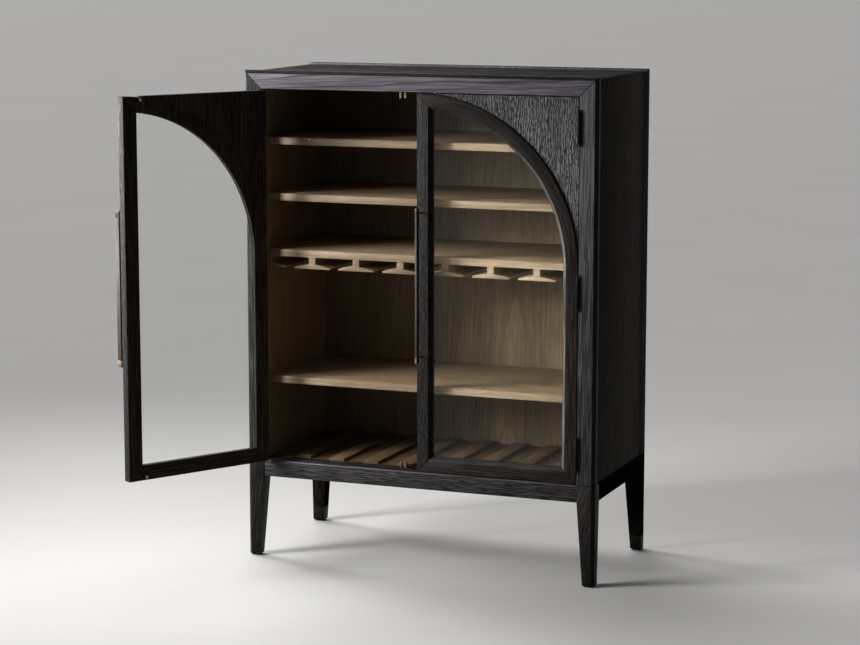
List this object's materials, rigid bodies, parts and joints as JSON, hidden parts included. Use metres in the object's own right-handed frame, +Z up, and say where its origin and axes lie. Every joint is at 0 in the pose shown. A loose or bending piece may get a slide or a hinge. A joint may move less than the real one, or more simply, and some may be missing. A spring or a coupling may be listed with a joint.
{
  "type": "low bar cabinet",
  "caption": "Low bar cabinet in dark oak on tapered legs, with arched glass doors, pale oak shelves, stemware rails and a ribbed wine rack.",
  "frame": {"origin": "middle of the whole part's footprint at floor level, with the left door open as in the picture", "axes": "+Z up, -Y towards the front with the doors, +X to the right seen from the front"},
  "size_m": [1.2544, 0.9154, 1.4],
  "materials": {
    "dark_oak": "near black stain, wire brushed",
    "pale_oak": "natural oak, satin",
    "cap_bronze": "smooth brown bronze",
    "hinge_bronze": "dark oiled bronze",
    "handle_bronze": "antique bronze, satin",
    "catch_copper": "copper plated",
    "clear_glass": "clear"
  },
  "bodies": {
    "cabinet": {"front_top_rail": "dark_oak", "left_front_stile": "dark_oak", "right_front_stile": "dark_oak", "rear_frame": "dark_oak", "top_panel": "dark_oak", "left_side_panel": "dark_oak", "right_side_panel": "dark_oak", "front_base_rail": "dark_oak", "rear_base_rail": "dark_oak", "left_base_rail": "dark_oak", "right_base_rail": "dark_oak", "left_side_lining": "pale_oak", "right_side_lining": "pale_oak", "ceiling_panel": "pale_oak", "back_panel": "pale_oak", "upper_shelf": "pale_oak", "second_shelf": "pale_oak", "stemware_shelf": "pale_oak", "lower_shelf": "pale_oak", "wine_rack": "pale_oak", "bottom_panel": "pale_oak", "front_left_leg": "dark_oak", "front_left_foot_cap": "cap_bronze", "front_right_leg": "dark_oak", "front_right_foot_cap": "cap_bronze", "rear_left_leg": "dark_oak", "rear_left_foot_cap": "cap_bronze", "rear_right_leg": "dark_oak", "rear_right_foot_cap": "cap_bronze", "upper_catch": "catch_copper", "lower_catch": "catch_copper", "left_upper_hinge_frame_leaf": "hinge_bronze", "left_middle_hinge_frame_leaf": "hinge_bronze", "left_lower_hinge_frame_leaf": "hinge_bronze", "right_upper_hinge_frame_leaf": "hinge_bronze", "right_middle_hinge_frame_leaf": "hinge_bronze", "right_lower_hinge_frame_leaf": "hinge_bronze"},
    "left_door": {"left_door_meeting_stile": "dark_oak", "left_door_bottom_rail": "dark_oak", "left_door_arched_stile": "dark_oak", "left_door_spandrel_panel": "dark_oak", "left_door_glass": "clear_glass", "left_door_handle": "handle_bronze", "left_upper_hinge_door_leaf": "hinge_bronze", "left_middle_hinge_door_leaf": "hinge_bronze", "left_lower_hinge_door_leaf": "hinge_bronze", "left_door_upper_strike": "catch_copper", "left_door_lower_strike": "catch_copper"},
    "right_door": {"right_door_meeting_stile": "dark_oak", "right_door_bottom_rail": "dark_oak", "right_door_arched_stile": "dark_oak", "right_door_spandrel_panel": "dark_oak", "right_door_glass": "clear_glass", "right_door_handle": "handle_bronze", "right_upper_hinge_door_leaf": "hinge_bronze", "right_middle_hinge_door_leaf": "hinge_bronze", "right_lower_hinge_door_leaf": "hinge_bronze", "right_door_upper_strike": "catch_copper", "right_door_lower_strike": "catch_copper"}
  },
  "joints": [
    {"name": "left_door_hinge", "type": "hinge", "parent": "cabinet", "child": "left_door", "pos_m": [-0.36533, -0.03708, 0.817], "axis": [0, 0, -1], "range_deg": [-120, 50]},
    {"name": "right_door_hinge", "type": "hinge", "parent": "cabinet", "child": "right_door", "pos_m": [0.57467, -0.03708, 0.817], "axis": [0, 0, 1], "range_deg": [0, 170]}
  ]
}
